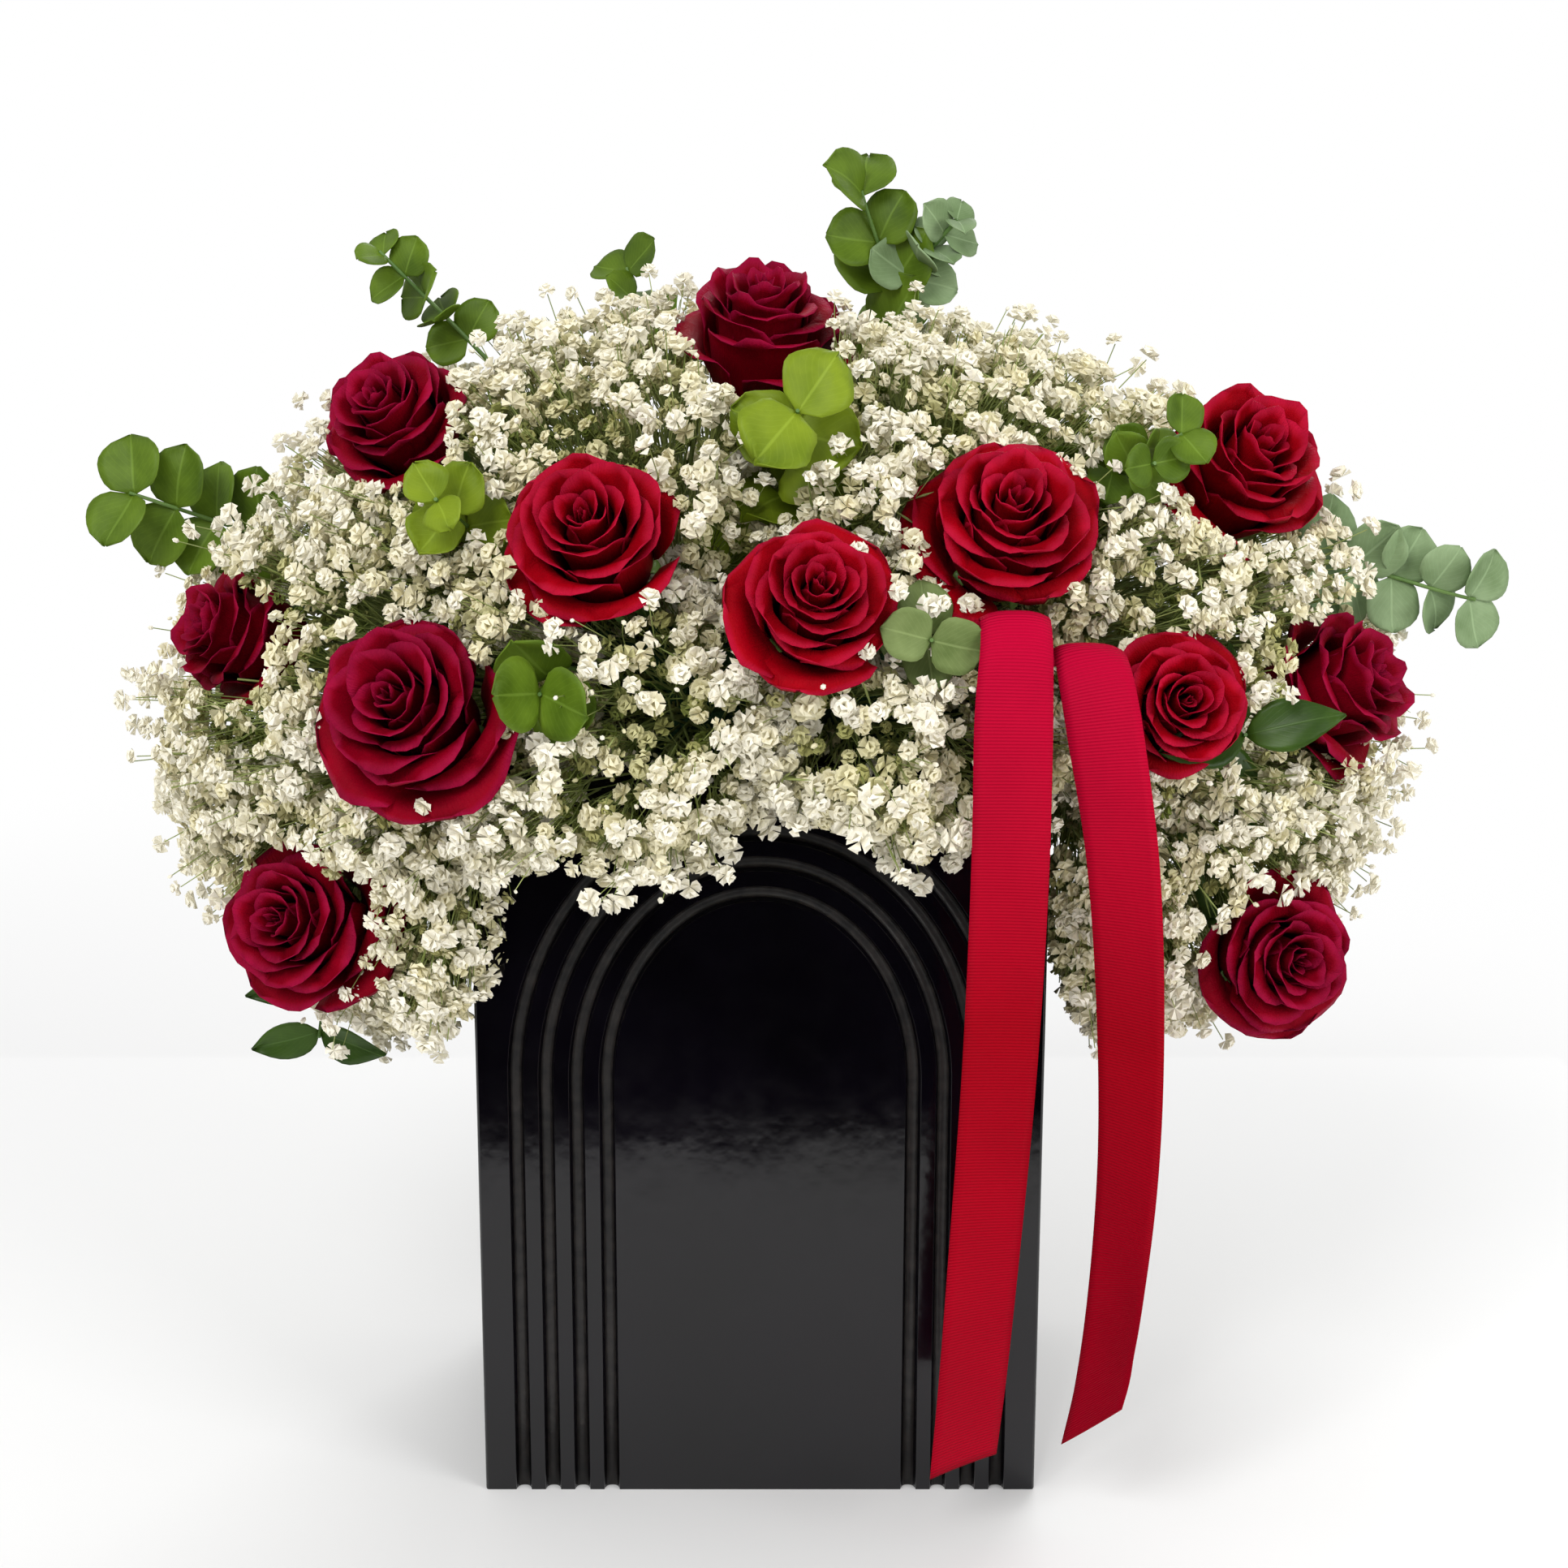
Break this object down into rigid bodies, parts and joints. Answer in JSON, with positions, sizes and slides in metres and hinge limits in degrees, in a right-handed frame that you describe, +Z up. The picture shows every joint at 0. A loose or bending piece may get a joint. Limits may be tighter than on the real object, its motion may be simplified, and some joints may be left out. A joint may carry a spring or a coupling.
{
  "type": "flower box",
  "caption": "Black lacquered box with arched grooves in its front, filled with red roses, gypsophila and eucalyptus in a lift-out liner, with two hanging ribbon tails.",
  "frame": {"origin": "middle of the box's underside, on the surface it stands on", "axes": "+Z up; -Y out of the grooved front; +X to the right seen from the front"},
  "size_m": [0.508, 0.2639, 0.4693],
  "materials": {
    "lacquer": "gloss",
    "liner_plastic": "satin",
    "wet_foam": "matte",
    "rose_petals": "satin",
    "green_stem": "satin",
    "eucalyptus_leaf": "satin",
    "ruscus_leaf": "satin",
    "gypsophila": "matte",
    "ribbon": "satin",
    "pick_wood": "matte"
  },
  "bodies": {
    "box": {"front_panel": "lacquer", "back_panel": "lacquer", "left_panel": "lacquer", "right_panel": "lacquer", "base_panel": "lacquer"},
    "arrangement": {"liner": "liner_plastic", "foam_brick_left": "wet_foam", "foam_brick_right": "wet_foam", "foam_brick_top": "wet_foam", "rose_head_01": "rose_petals", "rose_stem_01": "green_stem", "rose_head_02": "rose_petals", "rose_stem_02": "green_stem", "rose_head_03": "rose_petals", "rose_stem_03": "green_stem", "rose_head_04": "rose_petals", "rose_stem_04": "green_stem", "rose_head_05": "rose_petals", "rose_stem_05": "green_stem", "rose_head_06": "rose_petals", "rose_stem_06": "green_stem", "rose_head_07": "rose_petals", "rose_stem_07": "green_stem", "rose_head_08": "rose_petals", "rose_stem_08": "green_stem", "rose_head_09": "rose_petals", "rose_stem_09": "green_stem", "rose_head_10": "rose_petals", "rose_stem_10": "green_stem", "rose_head_11": "rose_petals", "rose_stem_11": "green_stem", "rose_head_12": "rose_petals", "rose_stem_12": "green_stem", "eucalyptus_far_left": "eucalyptus_leaf", "eucalyptus_top_left": "eucalyptus_leaf", "eucalyptus_top": "eucalyptus_leaf", "eucalyptus_centre": "eucalyptus_leaf", "eucalyptus_left": "eucalyptus_leaf", "eucalyptus_low_left": "eucalyptus_leaf", "eucalyptus_low_right": "eucalyptus_leaf", "eucalyptus_right": "eucalyptus_leaf", "eucalyptus_far_right": "eucalyptus_leaf", "eucalyptus_back": "eucalyptus_leaf", "ruscus_left": "ruscus_leaf", "ruscus_right": "ruscus_leaf", "gypsophila_left_low": "gypsophila", "gypsophila_right_low": "gypsophila", "gypsophila_left": "gypsophila", "gypsophila_right": "gypsophila", "gypsophila_front_left": "gypsophila", "gypsophila_front_right": "gypsophila", "gypsophila_top_left": "gypsophila", "gypsophila_top_right": "gypsophila", "gypsophila_back_left": "gypsophila", "gypsophila_back_right": "gypsophila", "ribbon_tail_left": "ribbon", "ribbon_tail_right": "ribbon", "ribbon_pick": "pick_wood"}
  },
  "joints": [
    {"name": "arrangement_lift", "type": "slide", "parent": "box", "child": "arrangement", "axis": [0, 0, 1], "range_m": [0, 0.28]}
  ]
}
